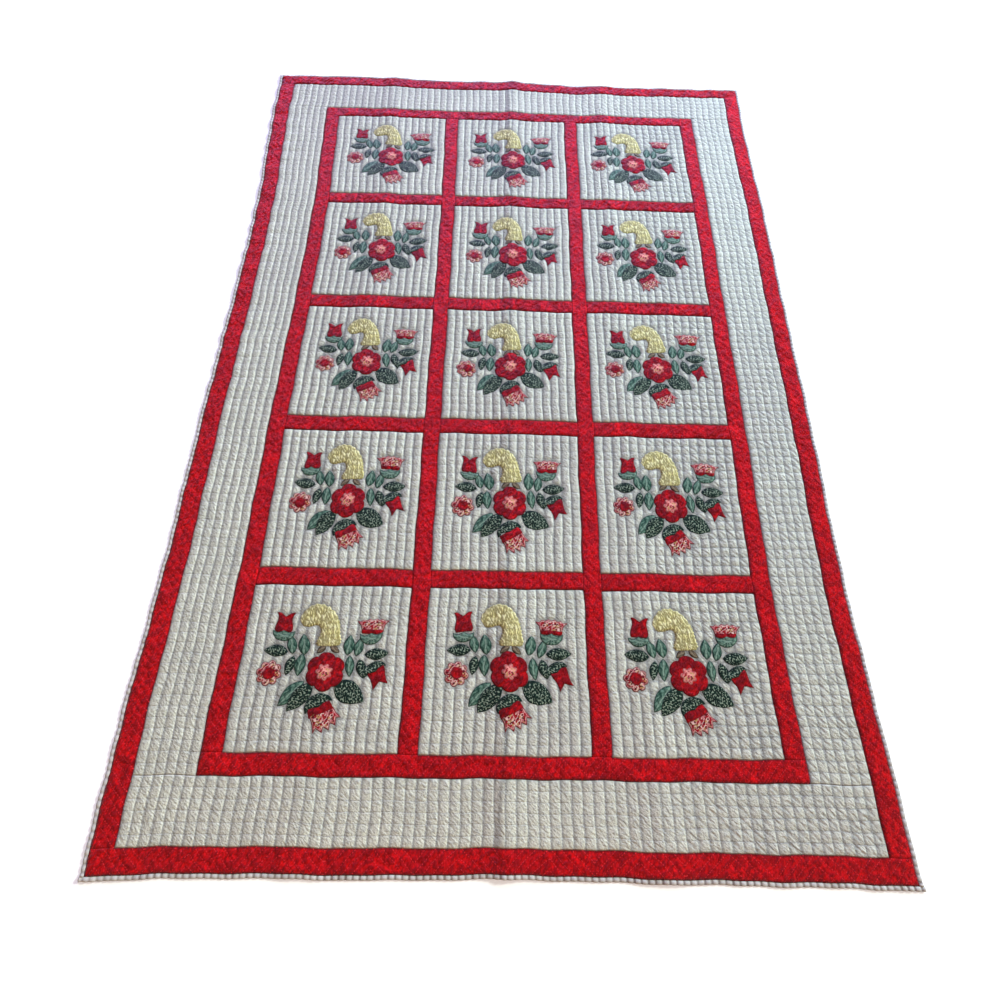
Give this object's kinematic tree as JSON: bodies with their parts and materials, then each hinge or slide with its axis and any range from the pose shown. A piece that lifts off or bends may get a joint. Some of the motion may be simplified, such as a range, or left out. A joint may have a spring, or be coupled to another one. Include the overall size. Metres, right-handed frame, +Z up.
{
  "type": "applique quilt",
  "caption": "Flat rectangular bed quilt of white cross-hatched blocks with applique bouquets, set in red sashing, a quilted white border, a red band and a narrow binding.",
  "frame": {"origin": "middle of the outline, on the surface that the quilt lies on", "axes": "+Z up from the surface, +Y along the length to the head end, +X to the right across the width"},
  "size_m": [1.6288, 2.351, 0.0105],
  "materials": {
    "white_cotton": "washed plain-weave cotton, quilted and puckered",
    "red_cotton": "washed plain-weave cotton, quilted in close slanting lines",
    "binding_cotton": "washed plain-weave cotton, folded and hand sewn",
    "leaf_cotton": "plain and finely printed green cotton",
    "horn_cotton": "pale yellow cotton, lightly gathered",
    "print_cotton": "small red and white print cotton"
  },
  "bodies": {
    "root": {"block_r1_c1": "white_cotton", "block_r1_c2": "white_cotton", "block_r1_c3": "white_cotton", "block_r2_c1": "white_cotton", "block_r2_c2": "white_cotton", "block_r2_c3": "white_cotton", "block_r3_c1": "white_cotton", "block_r3_c2": "white_cotton", "block_r3_c3": "white_cotton", "block_r4_c1": "white_cotton", "block_r4_c2": "white_cotton", "block_r4_c3": "white_cotton", "block_r5_c1": "white_cotton", "block_r5_c2": "white_cotton", "block_r5_c3": "white_cotton", "border_left": "white_cotton", "border_right": "white_cotton", "border_head": "white_cotton", "border_foot": "white_cotton", "sash_r1_c1": "red_cotton", "sash_r1_c2": "red_cotton", "sash_r1_c3": "red_cotton", "sash_r2_c1": "red_cotton", "sash_r2_c2": "red_cotton", "sash_r2_c3": "red_cotton", "sash_r3_c1": "red_cotton", "sash_r3_c2": "red_cotton", "sash_r3_c3": "red_cotton", "sash_r4_c1": "red_cotton", "sash_r4_c2": "red_cotton", "sash_r4_c3": "red_cotton", "sash_left": "red_cotton", "sash_right": "red_cotton", "frame_left": "red_cotton", "frame_right": "red_cotton", "frame_head": "red_cotton", "frame_foot": "red_cotton", "band_left": "red_cotton", "band_right": "red_cotton", "band_head": "red_cotton", "band_foot": "red_cotton", "binding_left": "binding_cotton", "binding_right": "binding_cotton", "binding_head": "binding_cotton", "binding_foot": "binding_cotton"}
  },
  "joints": []
}
